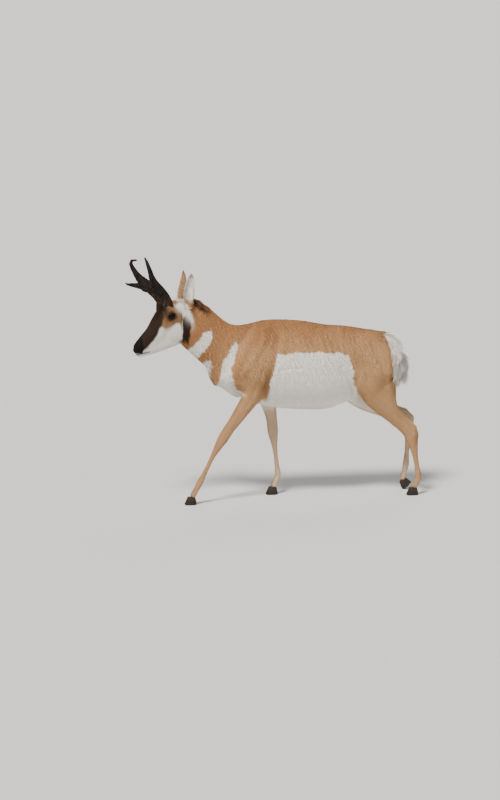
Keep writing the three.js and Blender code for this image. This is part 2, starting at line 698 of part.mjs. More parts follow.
let headPart = largest(beyond(rest, headPlane.point, headPlane.normal));
headPart = headPart.add(lidRing(left)).add(lidRing(right));
for (const side of bothSides) {
  headPart = headPart.subtract(eyeBall(side, seamGap)).subtract(mouthCut(side)).subtract(nostrilCut(side))
    .subtract(hornSolid(side, seamGap)).subtract(earSolid(side, seamGap));
}
const behindHead = beyond(rest, headPlane.point, back(headPlane.normal));
const neckPart = beyond(behindHead, neckPlane.point, neckPlane.normal);
const behindNeck = beyond(behindHead, neckPlane.point, back(neckPlane.normal));
addPiece("head", largest(headPart), coat);
addPiece("neck", largest(neckPart), coat);
addPiece("torso", largest(beyond(behindNeck, rumpPlane.point, back(rumpPlane.normal))), coat);
const rumpPart = beyond(behindNeck, rumpPlane.point, rumpPlane.normal);
addPiece("rump", largest(rumpPart.subtract(tailSolid(seamGap))), coat);
addPiece("tail", tailSolid(), paleHair);
for (const side of bothSides) {
  const word = side === left ? "left" : "right";
  addPiece(`eye_${word}`, eyeBall(side), eyeDark);
  addPiece(`ear_${word}`, earSolid(side), coat);
  addPiece(`horn_${word}`, hornSolid(side), hornBlack);
}
for (const foot of feet) {
  const { name, coronet, toeDown } = foot;
  const kneePoint = [0, 0, kneeHeights[name]];
  const upper = name.startsWith("fore") ? "foreleg" : "hindleg";
  const word = name.split("_")[1];
  addPiece(`${upper}_${word}`, largest(beyond(legs[name], kneePoint, [0, 0, 1])), coat);
  const tilt = THREE.MathUtils.degToRad(toeDown);
  const sole = [-Math.sin(tilt), 0, Math.cos(tilt)];
  const lower = beyond(beyond(legs[name], kneePoint, [0, 0, -1]), [coronet[0], 0, coronet[1]], sole, 0);
  addPiece(`cannon_${name}`, largest(lower), coat);
  addPiece(`claw_${name}_outer`, claw(foot, 1), hoofBlack);
  addPiece(`claw_${name}_inner`, claw(foot, -1), hoofBlack);
}

// The origin is under the middle of the whole animal, on the floor
const bounds = new THREE.Box3().setFromObject(group);
const centre = bounds.getCenter(new THREE.Vector3());
group.position.set(-centre.x, -centre.y, -bounds.min.z);

export default group;
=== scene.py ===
import math

import bpy
import numpy as np
import openvdb
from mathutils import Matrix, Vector, noise


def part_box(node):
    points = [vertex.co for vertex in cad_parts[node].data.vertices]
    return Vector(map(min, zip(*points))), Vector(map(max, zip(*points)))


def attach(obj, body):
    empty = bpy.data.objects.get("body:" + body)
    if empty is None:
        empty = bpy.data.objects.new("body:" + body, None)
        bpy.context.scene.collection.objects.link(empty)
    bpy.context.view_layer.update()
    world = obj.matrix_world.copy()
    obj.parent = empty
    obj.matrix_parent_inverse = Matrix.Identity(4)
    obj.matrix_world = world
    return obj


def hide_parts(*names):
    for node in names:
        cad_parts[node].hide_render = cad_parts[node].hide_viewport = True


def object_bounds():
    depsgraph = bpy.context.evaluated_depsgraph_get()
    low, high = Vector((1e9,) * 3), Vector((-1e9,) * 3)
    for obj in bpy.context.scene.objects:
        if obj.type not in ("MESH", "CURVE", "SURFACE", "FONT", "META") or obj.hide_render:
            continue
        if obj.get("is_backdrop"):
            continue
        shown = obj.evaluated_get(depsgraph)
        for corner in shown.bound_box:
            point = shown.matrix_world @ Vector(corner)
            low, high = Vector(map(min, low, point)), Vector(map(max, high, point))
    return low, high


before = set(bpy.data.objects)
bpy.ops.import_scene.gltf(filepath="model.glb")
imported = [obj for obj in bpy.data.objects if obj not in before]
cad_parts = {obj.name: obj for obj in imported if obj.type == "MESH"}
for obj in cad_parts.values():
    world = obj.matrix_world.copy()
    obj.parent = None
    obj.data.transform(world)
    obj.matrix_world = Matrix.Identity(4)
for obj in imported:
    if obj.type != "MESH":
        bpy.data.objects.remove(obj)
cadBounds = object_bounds()

# The markings and hair directions are written in a workshop frame in millimetres: x is 0 behind the
# shoulder and grows towards the tail, y is 0 in the middle plane and z is 0 on the floor. The eye
# ties it to the model's frame.
eyeLow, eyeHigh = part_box("eye_left")
workshopEye = Vector((-0.64607, -0.06635, 0))
shift = (eyeLow + eyeHigh) / 2 - workshopEye
shift.z = 0
shiftArray = np.array(shift)
headTurn = math.radians(12)
poll = np.array([-560.0, 0.0])
eyeMiddle = (-98, 47, 924)


def workshop(points):
    return (points - shiftArray) * 1000


# Workshop places as seen along the turned head: x runs from the poll to the muzzle as a negative
# number
def headFrame(places):
    x = places[:, 0] - poll[0]
    y = places[:, 1] - poll[1]
    cos, sin = math.cos(headTurn), math.sin(headTurn)
    return np.stack([cos * x + sin * y, -sin * x + cos * y, places[:, 2]], 1)


# Directions in the head's own axes, turned into the workshop's axes
def turnedOut(vectors):
    cos, sin = math.cos(headTurn), math.sin(headTurn)
    x, y, z = vectors[:, 0], vectors[:, 1], vectors[:, 2]
    return np.stack([cos * x - sin * y, sin * x + cos * y, z], 1)


def eyeDistance(local, side):
    middle = np.array([eyeMiddle[0], eyeMiddle[1] * side, eyeMiddle[2]])
    return np.linalg.norm(local - middle, axis=1)


# Rises smoothly from 0 at low to 1 at high
def ramp(value, low, high):
    share = np.clip((value - low) / (high - low), 0, 1)
    return share * share * (3 - 2 * share)


def mix(a, b, share):
    return a + (b - a) * share[:, None]


def unit(vectors):
    return vectors / np.maximum(np.linalg.norm(vectors, axis=1, keepdims=True), 1e-9)


# Camera

cameraSettings = {
    "distance": 30.0,
    "azimuth": -12.0,
    "elevation": 11.0,
    "acrossTarget": -0.240,
    "upTarget": 0.4656,
    "pictureHeight": 3.866,
}


def makeCamera(settings):
    azimuth = math.radians(settings["azimuth"])
    elevation = math.radians(settings["elevation"])
    right = Vector((math.cos(azimuth), math.sin(azimuth), 0))
    forward = Vector((
        -math.sin(azimuth) * math.cos(elevation),
        math.cos(azimuth) * math.cos(elevation),
        -math.sin(elevation),
    ))
    up = right.cross(forward)
    target = shift + right * settings["acrossTarget"] + up * settings["upTarget"]
    data = bpy.data.cameras.new("camera")
    data.lens = data.sensor_width * settings["distance"] / settings["pictureHeight"]
    data.clip_end = 100
    camera = bpy.data.objects.new("camera", data)
    camera.location = target - forward * settings["distance"]
    camera.rotation_euler = forward.to_track_quat("-Z", "Y").to_euler()
    bpy.context.scene.collection.objects.link(camera)
    bpy.context.scene.camera = camera


makeCamera(cameraSettings)
print("camera made")


# Shape fields: the flesh solids are turned into a distance field, and the skin is its level set a
# little further in

def solidMesh(names):
    points, faces, count = [], [], 0
    for name in names:
        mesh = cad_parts[name].data
        mesh.calc_loop_triangles()
        corners = np.empty(len(mesh.vertices) * 3, np.float32)
        mesh.vertices.foreach_get("co", corners)
        triangles = np.empty(len(mesh.loop_triangles) * 3, np.int32)
        mesh.loop_triangles.foreach_get("vertices", triangles)
        points.append(corners.reshape(-1, 3))
        faces.append(triangles.reshape(-1, 3) + count)
        count += len(mesh.vertices)
    return np.concatenate(points), np.concatenate(faces)


# Signed distance in metres on a regular grid: negative inside
class Field:
    def __init__(self, low, high, step):
        self.step = step
        self.first = np.floor(np.array(low) / step).astype(int) - 6
        self.size = np.ceil(np.array(high) / step).astype(int) + 6 - self.first
        self.values = np.full(self.size, 1.0, np.float32)

    def fill(self, points, faces, width=10, quads=None):
        transform = openvdb.createLinearTransform(voxelSize=self.step)
        arguments = {"points": points.astype(np.float32), "transform": transform, "halfWidth": width}
        if quads is None:
            arguments["triangles"] = faces.astype(np.uint32)
        else:
            arguments["quads"] = quads.astype(np.uint32)
        grid = openvdb.FloatGrid.createLevelSetFromPolygons(**arguments)
        grid.copyToArray(self.values, ijk=tuple(int(v) for v in self.first))
        return self

    def places(self):
        axes = [(np.arange(n) + f) * self.step for n, f in zip(self.size, self.first)]
        return np.stack(np.meshgrid(*axes, indexing="ij"), -1)

    def quads(self, values=None):
        grid = openvdb.FloatGrid(1.0)
        grid.transform = openvdb.createLinearTransform(voxelSize=self.step)
        source = np.ascontiguousarray(self.values if values is None else values, np.float32)
        grid.copyFromArray(source, ijk=tuple(int(v) for v in self.first))
        points, quads = grid.convertToQuads(0.0)
        return points.astype(float), quads.astype(int)


fleshNodes = [
    "head", "neck", "torso", "rump", "tail", "ear_left", "ear_right",
    "foreleg_left", "foreleg_right", "hindleg_left", "hindleg_right",
    "cannon_fore_left", "cannon_fore_right", "cannon_hind_left", "cannon_hind_right",
]

skinSettings = {
    "bodyStep": 0.0058,
    "headStep": 0.0029,
    "earStep": 0.0021,
    "gapClosing": 0.0004,
    "trunkDepth": 0.005,
    "headDepth": 0.0012,
    "legDepth": 0.0013,
    "earDepth": 0.0004,
    "bodySmoothing": 14,
    "headSmoothing": 2,
}


# The joined solids with the seams between them closed
def closedField(names, low, high, step, closing):
    points, faces = solidMesh(names)
    rough = Field(low, high, step).fill(points, faces)
    rough.values -= closing
    outer, quads = rough.quads()
    field = Field(low, high, step).fill(outer, None, quads=quads)
    field.values += closing
    return field


# How far the skin lies under the coat's outline, in metres, at workshop places
def coatDepth(places, settings):
    x, y, z = places[:, 0], places[:, 1], places[:, 2]
    local = headFrame(places)
    depth = np.full(len(places), settings["trunkDepth"])
    onLeg = 1 - ramp(z, 400, 520)
    depth = depth + (settings["legDepth"] - depth) * onLeg
    alongHead = 1 - ramp(local[:, 0], -70, 20)
    alongHead = alongHead * ramp(z, 640, 760)
    depth = depth + (settings["headDepth"] - depth) * alongHead
    onEar = ramp(z, 975, 995) * ramp(local[:, 0], -60, -40)
    depth = depth + (settings["earDepth"] - depth) * onEar
    for side in (-1, 1):
        depth = depth * (0.12 + 0.88 * ramp(eyeDistance(local, side), 26, 40))
        away = np.linalg.norm(local - np.array([-112, 38 * side, 975]), axis=1)
        depth = depth * (0.2 + 0.8 * ramp(away, 24, 44))
    return depth


def neighbourhood(quads, count):
    edges = np.concatenate([quads[:, [0, 1]], quads[:, [1, 2]], quads[:, [2, 3]], quads[:, [3, 0]]])
    edges = np.unique(np.sort(edges, 1), axis=0)
    degree = np.bincount(edges.ravel(), minlength=count).astype(float)
    return edges, degree


# Smooths a mesh without shrinking it
def relaxed(points, quads, rounds):
    edges, degree = neighbourhood(quads, len(points))
    a, b = edges[:, 0], edges[:, 1]
    for turn in range(rounds * 2):
        pull = 0.5 if turn % 2 == 0 else -0.52
        mean = np.stack([
            np.bincount(a, points[b, axis], len(points)) + np.bincount(b, points[a, axis], len(points))
            for axis in range(3)
        ], 1) / degree[:, None]
        points = points + (mean - points) * pull
    return points


def skinPart(names, low, high, step, settings, rounds, keep):
    field = closedField(names, low, high, step, settings["gapClosing"])
    grid = field.places().reshape(-1, 3)
    near = np.abs(field.values.ravel()) < step * 9
    inset = np.zeros(len(grid))
    inset[near] = coatDepth(workshop(grid[near]), settings)
    values = field.values + inset.reshape(field.values.shape).astype(np.float32)
    points, quads = field.quads(values)
    centres = workshop(points[quads].mean(1))
    quads = quads[keep(centres)]
    used, renamed = np.unique(quads, return_inverse=True)
    points, quads = points[used], renamed.reshape(-1, 4)
    return relaxed(points, quads, rounds), quads


# The head and ears are meshed finer than the body, and the two meshes meet just behind the ears
def headSide(places):
    along = headFrame(places)[:, 0]
    behind = along + 0.55 * (np.minimum(places[:, 2], 930) - 850)
    return np.where((places[:, 2] > 968) & (along < 80), behind - 200, behind)


def cadRange(names):
    corners = np.array([[list(corner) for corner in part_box(name)] for name in names])
    return corners[:, 0].min(0), corners[:, 1].max(0)


headNodes = ["head", "neck"]
bodyPoints, bodyQuads = skinPart(
    fleshNodes, *cadRange(fleshNodes), skinSettings["bodyStep"], skinSettings,
    skinSettings["bodySmoothing"], lambda places: (headSide(places) > 24) | (places[:, 2] < 700),
)
headPoints, headQuads = skinPart(
    headNodes, *cadRange(headNodes), skinSettings["headStep"], skinSettings,
    skinSettings["headSmoothing"], lambda places: (headSide(places) < 30) & (places[:, 2] > 694),
)
thinSettings = dict(skinSettings, trunkDepth=0.0003, headDepth=0.0003, legDepth=0.0003, earDepth=0.0003)
earParts = [
    skinPart(
        [name], *cadRange([name]), skinSettings["earStep"], thinSettings, 1,
        lambda places: places[:, 2] > 0,
    )
    for name in ("ear_left", "ear_right")
]
print("skin meshed", len(bodyQuads), "body faces", len(headQuads), "head faces")


def outwardNormals(points, quads):
    a, b, c, d = (points[quads[:, i]] for i in range(4))
    across = np.cross(c - a, d - b)
    normals = np.stack([
        sum(np.bincount(quads[:, i], across[:, axis], len(points)) for i in range(4))
        for axis in range(3)
    ], 1)
    return unit(normals)


# Creases and swells of the muscles under the coat. A stroke is a line in side view with its half
# width and its depth, both in millimetres; a negative depth is a groove. Side is -1 for the
# animal's left, 1 for its right, 0 for both.
muscleStrokes = [
    (0, [(178, 652), (204, 606), (226, 566), (244, 528)], 12, -7.0),
    (0, [(-124, 646), (-80, 655), (-30, 652)], 8, -2.5),
    (0, [(-116, 810), (-136, 730), (-160, 650), (-192, 566)], 17, -3.6),
    (0, [(-164, 846), (-228, 740), (-300, 640)], 15, 2.8),
    (0, [(-246, 850), (-324, 744), (-384, 640)], 22, -6.0),
    (0, [(-210, 650), (-236, 590), (-262, 530)], 12, -2.4),
    (0, [(334, 760), (378, 660), (402, 560)], 15, -4.6),
    (0, [(262, 700), (286, 620), (270, 540)], 16, 2.4),
    (0, [(196, 812), (232, 800)], 22, 4.5),
    (0, [(240, 770), (300, 730), (340, 700)], 18, -1.8),
    (0, [(-430, 860), (-400, 780), (-386, 700)], 16, -2.0),
    (-1, [(470, 388), (512, 346), (538, 312)], 7, -3.2),
    (1, [(440, 402), (500, 376), (548, 362)], 7, -3.2),
    (-1, [(-272, 508), (-318, 424), (-356, 366)], 8, -2.0),
    (1, [(-150, 500), (-134, 420), (-124, 366)], 8, -2.0),
    (-1, [(-424, 262), (-470, 172), (-498, 122)], 3.4, -1.0),
    (1, [(-106, 250), (-98, 160), (-92, 116)], 3.4, -1.0),
    (-1, [(546, 244), (556, 180), (564, 124)], 3.4, -1.0),
    (1, [(556, 290), (552, 220), (546, 150)], 3.4, -1.0),
] + [(0, [(-70 + 30 * i, 790), (-50 + 30 * i, 720), (-20 + 30 * i, 640)], 8, 1.1) for i in range(8)]


# How far side view places lie from a line of points
def lineDistance(across, up, line):
    nearest = np.full(len(across), 1e9)
    for (x0, z0), (x1, z1) in zip(line, line[1:]):
        length = (x1 - x0) ** 2 + (z1 - z0) ** 2
        share = np.clip(((across - x0) * (x1 - x0) + (up - z0) * (z1 - z0)) / length, 0, 1)
        gap = np.hypot(across - x0 - share * (x1 - x0), up - z0 - share * (z1 - z0))
        nearest = np.minimum(nearest, gap)
    return nearest


def strokeWeight(across, up, line, halfWidth):
    return np.exp(-((lineDistance(across, up, line) / halfWidth) ** 2))


def sculpted(points, normals, strokes):
    places = workshop(points)
    flank = ramp(np.abs(normals[:, 1]), 0.25, 0.6)
    push = np.zeros(len(points))
    for side, line, halfWidth, depth in strokes:
        facing = flank if side == 0 else flank * (places[:, 1] * side > 0)
        push += strokeWeight(places[:, 0], places[:, 2], line, halfWidth) * facing * depth
    return points + normals * (push / 1000)[:, None]


bodyPoints = sculpted(bodyPoints, outwardNormals(bodyPoints, bodyQuads), muscleStrokes)
shells = [(bodyPoints, bodyQuads), (headPoints, headQuads)] + [part[:2] for part in earParts]
firsts = np.cumsum([0] + [len(points) for points, quads in shells])
skinPoints = np.concatenate([points for points, quads in shells])
skinQuads = np.concatenate([quads + first for (points, quads), first in zip(shells, firsts)])
skinNormals = np.concatenate([outwardNormals(points, quads) for points, quads in shells])


# Markings, with painted shade in the coat's colour

# 1 well inside a closed outline, 0 well outside, with an edge about soft wide
def outlineShare(across, up, outline, soft):
    inside = np.zeros(len(across), bool)
    for (x0, z0), (x1, z1) in zip(outline, outline[1:] + outline[:1]):
        if z0 != z1:
            crosses = (up > min(z0, z1)) & (up <= max(z0, z1))
            inside ^= crosses & (across < x0 + (up - z0) * (x1 - x0) / (z1 - z0))
    nearest = lineDistance(across, up, outline + outline[:1])
    depth = np.where(inside, nearest, -nearest)
    return ramp(depth, -soft, soft)


coatColours = {
    "back": (0.355, 0.168, 0.070),
    "side": (0.46, 0.262, 0.128),
    "rust": (0.345, 0.165, 0.070),
    "white": (0.82, 0.79, 0.72),
    "leg": (0.47, 0.270, 0.135),
    "paleLeg": (0.66, 0.50, 0.33),
    "chocolate": (0.034, 0.0200, 0.0140),
    "black": (0.007, 0.0055, 0.005),
    "face": (0.29, 0.160, 0.080),
    "mane": (0.050, 0.028, 0.018),
    "shade": (0.20, 0.098, 0.042),
}

flankOutline = [
    (-142, 721), (-55, 731), (89, 728), (204, 711), (215, 670), (234, 628), (226, 598),
    (241, 567), (267, 508), (300, 440), (300, 380), (-260, 380), (-240, 440), (-214, 472),
    (-200, 512), (-184, 561), (-168, 618), (-155, 662),
]
upperBand = [
    (-452, 848), (-446, 830), (-457, 789), (-482, 752), (-500, 724), (-520, 690), (-560, 690),
    (-575, 720), (-540, 758), (-516, 790), (-489, 832),
]
lowerShield = [
    (-457, 704), (-448, 668), (-450, 622), (-470, 590), (-500, 620), (-510, 662), (-478, 690),
]
longStripe = [
    (-333, 786), (-322, 760), (-341, 719), (-356, 663), (-352, 592), (-326, 556), (-290, 538),
    (-280, 470), (-330, 440), (-440, 470), (-430, 560), (-413, 599), (-406, 646), (-386, 704),
    (-365, 747),
]
rosette = [
    (384, 806), (400, 786), (413, 764), (424, 738), (436, 706), (446, 668), (450, 600),
    (560, 570), (560, 820),
]
faceMask = [
    (-290, 736), (-262, 748), (-246, 757), (-224, 764), (-209, 776), (-193, 794), (-177, 812),
    (-162, 836), (-154, 862), (-142, 884), (-136, 930), (-128, 960), (-150, 1000), (-330, 900),
    (-330, 736),
]
cheekPatch = [
    (-40, 905), (-22, 918), (-6, 900), (0, 868), (2, 820), (-2, 770), (-16, 738), (-32, 758),
    (-44, 800), (-46, 850),
]
# Painted shade where shadow falls round the elbows, the thighs and the hind legs: each place gives its
# middle across and up, its width and height in millimetres, and its strength
paintedShadePlaces = [
    (436, 580, 30, 66, 0.60), (380, 560, 30, 40, 0.25), (-180, 600, 30, 60, 0.35),
    (250, 690, 34, 60, 0.25), (-212, 572, 30, 36, 0.62), (556, 300, 16, 44, 0.45),
]
cheekTan = [
    (-150, 872), (-128, 862), (-104, 866), (-84, 880), (-62, 884), (-50, 872), (-40, 900),
    (-44, 930), (-70, 960), (-110, 990), (-160, 990), (-160, 900),
]


# A smooth irregular shift, so that no edge of a marking is a straight line
def waver(points, size, amount, seed=0.0):
    scaled = points / size + seed
    x, y, z = scaled[:, 0], scaled[:, 1], scaled[:, 2]
    wave = np.sin(x * 1.7 + 1.3 * np.sin(z * 1.1 + y))
    wave = wave + np.sin(z * 2.3 + 1.7 * np.sin(x * 1.9 - y * 0.7))
    wave += 0.6 * np.sin(y * 2.9 + x * 3.1 + np.sin(z * 3.7))
    return wave * amount / 2.6


# Fine waves across the lie of the hair, strongest over the back, shoulder and neck
def ripples(places):
    x, y, z = places[:, 0], places[:, 1], places[:, 2]
    warp = 2.4 * waver(places, 40, 1, 6.0) + 1.6 * waver(places, 15, 1, 8.0)
    wave = np.sin((x * 0.92 + z * 0.38) / 13 * 2 * math.pi + warp * 2)
    return wave * ramp(z, 520, 640) * (1 - ramp(places[:, 0], 380, 430)) * ramp(x, -560, -480)


# The coat's colour at points of the model's frame
def coatColour(points, normals):
    places = workshop(points)
    x, y, z = places[:, 0], places[:, 1], places[:, 2]
    edgeX = x + waver(places, 34, 5) + waver(places, 9, 3.8, 4.0)
    edgeZ = z + waver(places, 30, 5, 9.0) + waver(places, 8, 3.8, 2.0)
    tone = {name: np.array(value) for name, value in coatColours.items()}
    colour = np.tile(tone["side"], (len(points), 1))
    colour = mix(colour, tone["back"], ramp(z + waver(places, 60, 16), 700, 860))
    colour = mix(colour, tone["leg"], 1 - ramp(z, 330, 560))
    # Painted shade round the elbow and armpit
    elbowPaintedShade = 0.45 * ramp(x, -235, -190) * (1 - ramp(x, -170, -120)) * ramp(z, 480, 520)
    colour = mix(colour, tone["shade"], elbowPaintedShade * (1 - ramp(z, 620, 700)))

    neckPart = 1 - ramp(x + 0.4 * (z - 700), -340, -270)
    redness = 0.45 + 0.45 * (1 - ramp(x, -470, -400))
    colour = mix(colour, tone["rust"], redness * neckPart * ramp(z, 560, 640))

    # Legs are paler on their inner sides
    inner = (1 - ramp(np.abs(y), 66, 84)) * (1 - ramp(z, 500, 540))
    colour = mix(colour, tone["paleLeg"], 0.75 * inner)
    innerThigh = (1 - ramp(np.abs(y), 46, 62)) * ramp(z, 330, 420) * (1 - ramp(z, 560, 640))
    colour = mix(colour, tone["white"], 0.85 * (innerThigh * ramp(x, 150, 230)))

    white = outlineShare(edgeX, edgeZ, flankOutline, 4)
    legSide = 1 - ramp(z, 395, 470)
    outerForeleg = ramp(np.abs(y), 56, 68) * (1 - ramp(z, 540, 600)) * (1 - ramp(x, -190, -170))
    white = white * (1 - legSide) * (1 - outerForeleg)
    outerLeg = ramp(np.abs(y), 50, 64) * (1 - ramp(z, 520, 552))
    chest = outlineShare(edgeX, edgeZ, longStripe, 5) * ramp(z, 380, 480) * (1 - outerLeg)
    white = np.maximum(white, chest)
    chestUnder = (1 - ramp(x, -250, -200)) * (1 - ramp(z, 545, 575)) * ramp(z, 430, 480)
    white = np.maximum(white, 0.9 * (chestUnder * (1 - ramp(np.abs(y), 50, 66))))
    white = np.maximum(white, outlineShare(edgeX, edgeZ, rosette, 5))
    colour = mix(colour, tone["white"], white)
    rim = outlineShare(edgeX, edgeZ, [(a - 26, b + 6) for a, b in rosette], 12) * (1 - white)
    colour = mix(colour, tone["rust"], 0.5 * rim)
    # Painted shade in the places listed above, kept off the white hair
    for centreX, centreZ, wide, tall, strength in paintedShadePlaces:
        paintedShade = np.exp(-(((x - centreX) / wide) ** 2 + ((z - centreZ) / tall) ** 2)) * strength
        colour = mix(colour, tone["shade"], paintedShade * (1 - white))

    # Head
    local = headFrame(places)
    headShare = (1 - ramp(local[:, 0] + 0.35 * (local[:, 2] - 860), 18, 34)) * ramp(z, 690, 715)
    u = local[:, 0] + waver(places, 20, 3)
    w = local[:, 2] + waver(places, 18, 3, 5.0)
    side = np.abs(local[:, 1])
    face = np.tile(tone["white"], (len(points), 1))
    face = mix(face, tone["face"], outlineShare(u, w, cheekTan, 7))
    face = mix(face, tone["face"], ramp(w - 0.2 * u, 972, 990))
    below = np.exp(-(((u + 122) / 20) ** 2 + ((w - 872) / 22) ** 2))
    face = mix(face, tone["face"], 0.85 * below)
    eyeAway = np.linalg.norm(np.stack([u + 98, side - 47, w - 924], 1), axis=1)
    face = mix(face, tone["chocolate"], 0.85 * (1 - ramp(eyeAway, 25, 32)))
    browDark = np.exp(-(((u + 128) / 18) ** 2 + ((w - 938) / 30) ** 2))
    face = mix(face, tone["chocolate"], 0.8 * browDark)
    face = mix(face, tone["chocolate"], outlineShare(u, w, faceMask, 6))
    bridge = ramp(w - 0.62 * (u + 200), 842, 850) * (1 - ramp(side, 18, 26)) * (1 - ramp(u, -120, -95))
    face = mix(face, tone["chocolate"], bridge)
    nosePad = (1 - ramp(u, -240, -230)) * ramp(w, 742, 748)
    face = mix(face, tone["black"], nosePad)
    lipLine = (1 - ramp(np.abs(w - 742 - 0.18 * (u + 250)), 2.5, 5)) * (1 - ramp(u, -205, -190))
    face = mix(face, tone["chocolate"], 0.8 * lipLine)
    behindJaw = ramp(u, -44, -34) * (1 - ramp(w, 902, 925))
    face = mix(face, tone["rust"], behindJaw)
    behindEye = np.exp(-(((u - 4) / 13) ** 2 + ((w - 905) / 40) ** 2))
    face = mix(face, tone["white"], behindEye * ramp(side, 20, 30))
    face = mix(face, tone["chocolate"], outlineShare(u, w, cheekPatch, 4) * ramp(side, 20, 30))
    jawLine = (1 - ramp(np.abs(u + 50), 2, 5)) * ramp(w, 850, 862) * (1 - ramp(w, 960, 975))
    face = mix(face, tone["chocolate"], 0.6 * (jawLine * ramp(side, 24, 32)))
    earBase = np.exp(-(((u + 40) / 26) ** 2 + ((w - 975) / 34) ** 2)) * ramp(side, 22, 32)
    earBase += np.exp(-(((u + 8) / 18) ** 2 + ((w - 930) / 36) ** 2)) * ramp(side, 22, 32)
    earBase += np.exp(-(((u + 8) / 30) ** 2 + ((w - 964) / 22) ** 2)) * ramp(side, 26, 36)
    face = mix(face, tone["white"], np.clip(1.5 * earBase, 0, 1))
    colour = mix(colour, face, headShare)
    shield = 0.9 * outlineShare(edgeX, edgeZ, lowerShield, 7)
    bands = np.maximum(outlineShare(edgeX, edgeZ, upperBand, 5), shield)
    colour = mix(colour, tone["white"], bands * ramp(local[:, 0], -2, 10))

    # Ears: tan backs, white hair inside, dark rims and tips
    onEar = ramp(z, 972, 992) * ramp(local[:, 0], -62, -52)
    turned = headFrame(normals + np.array([poll[0], poll[1], 0.0]))
    facing = -0.45 * turned[:, 0] + 0.9 * turned[:, 1] * np.sign(local[:, 1])
    ear = mix(np.tile(tone["side"], (len(points), 1)), tone["white"], ramp(facing, -0.15, 0.25))
    ear = mix(ear, tone["mane"], 0.55 * ramp(z + waver(places, 8, 3), 1088, 1106))
    colour = mix(colour, ear, onEar)

    crest = (1 - ramp(np.abs(y + 0.2 * (x + 560)), 8, 20)) * (1 - ramp(x, -505, -430))
    crest = crest * ramp(z, 850, 900) * ramp(local[:, 0], -6, 12) * (1 - onEar)
    colour = mix(colour, tone["mane"], 0.85 * crest)

    for throatX, throatZ in ((-578, 786), (-600, 792)):
        patch = np.exp(-(((x - throatX) / 9) ** 2 + ((z - throatZ) / 13) ** 2))
        colour = mix(colour, tone["chocolate"], 0.85 * (patch * ramp(np.abs(y), 14, 24)))

    # Small random changes of tone, plus painted light and shade along the waves of the hair
    toneAndRippleShading = 1 + 0.05 * waver(places, 13, 1, 3.0) + 0.04 * waver(places, 4, 1, 7.0)
    toneAndRippleShading += 0.16 * ripples(places)
    return np.clip(colour * toneAndRippleShading[:, None], 0.004, 0.95)


# Meshes and materials

# A mesh object from arrays; faces is a list of index arrays, one for each number of corners
def newMesh(name, points, faces, normals=None, colours=None, maps=None):
    mesh = bpy.data.meshes.new(name)
    corners = np.concatenate([part.ravel() for part in faces]).astype(np.int32)
    sizes = np.concatenate([np.full(len(part), part.shape[1]) for part in faces])
    starts = np.concatenate([[0], np.cumsum(sizes)[:-1]]).astype(np.int32)
    mesh.vertices.add(len(points))
    mesh.vertices.foreach_set("co", np.ascontiguousarray(points, np.float32).ravel())
    mesh.loops.add(len(corners))
    mesh.loops.foreach_set("vertex_index", corners)
    mesh.polygons.add(len(sizes))
    mesh.polygons.foreach_set("loop_start", starts)
    mesh.polygons.foreach_set("use_smooth", np.ones(len(sizes), bool))
    if maps is not None:
        layer = mesh.uv_layers.new(name="OFBake")
        layer.data.foreach_set("uv", np.ascontiguousarray(maps, np.float32).ravel())
    mesh.update(calc_edges=True)
    mesh.validate()
    if colours is not None:
        paint = mesh.color_attributes.new("coat", "FLOAT_COLOR", "POINT")
        filled = np.ones((len(points), 4), np.float32)
        filled[:, :3] = colours
        paint.data.foreach_set("color", filled.ravel())
    if normals is not None:
        mesh.normals_split_custom_set_from_vertices(normals.astype(np.float32))
    made = bpy.data.objects.new(name, mesh)
    bpy.context.scene.collection.objects.link(made)
    return made


def newMaterial(name, roughness, **values):
    material = bpy.data.materials.new(name)
    material.use_nodes = True
    shader = material.node_tree.nodes["Principled BSDF"]
    shader.inputs["Roughness"].default_value = roughness
    for key, value in values.items():
        shader.inputs[key].default_value = value
    return material, shader


def link(material, source, target):
    material.node_tree.links.new(source, target)


def paintedMaterial(name, roughness, **values):
    material, shader = newMaterial(name, roughness, **values)
    paint = material.node_tree.nodes.new("ShaderNodeVertexColor")
    paint.layer_name = "coat"
    link(material, paint.outputs["Color"], shader.inputs["Base Color"])
    return material


coatLook = {
    "roughness": 0.78,
    "specular": 0.10,
    "grainStretch": (60, 160, 160),
    "grainScale": 3.0,
    "grainDetail": 3.0,
    "bumpDistance": 0.0016,
    "bumpStrength": 0.5,
}


def hairMaterial(name, settings):
    values = {"Specular IOR Level": settings["specular"]}
    return paintedMaterial(name, settings["roughness"], **values)


def addGrain(material, settings):
    nodes = material.node_tree.nodes
    coordinates = nodes.new("ShaderNodeTexCoord")
    stretched = nodes.new("ShaderNodeMapping")
    stretched.inputs["Scale"].default_value = settings["grainStretch"]
    grain = nodes.new("ShaderNodeTexNoise")
    grain.inputs["Scale"].default_value = settings["grainScale"]
    grain.inputs["Detail"].default_value = settings["grainDetail"]
    bump = nodes.new("ShaderNodeBump")
    bump.inputs["Distance"].default_value = settings["bumpDistance"]
    bump.inputs["Strength"].default_value = settings["bumpStrength"]
    link(material, coordinates.outputs["Object"], stretched.inputs["Vector"])
    link(material, stretched.outputs["Vector"], grain.inputs["Vector"])
    link(material, grain.outputs["Fac"], bump.inputs["Height"])
    link(material, bump.outputs["Normal"], nodes["Principled BSDF"].inputs["Normal"])


coatStuff = hairMaterial("coat", coatLook)
skinStuff = hairMaterial("skin", coatLook)
addGrain(skinStuff, coatLook)


def shown(made, material):
    made.data.materials.append(material)
    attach(made, "root")
    return made


# The skin is painted a little darker than the coat, as painted shade deep between the tufts
skinColours = coatColour(skinPoints, skinNormals) * 0.90
skin = shown(newMesh("skin", skinPoints, [skinQuads], colours=skinColours), skinStuff)
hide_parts(*fleshNodes)
print("skin made")


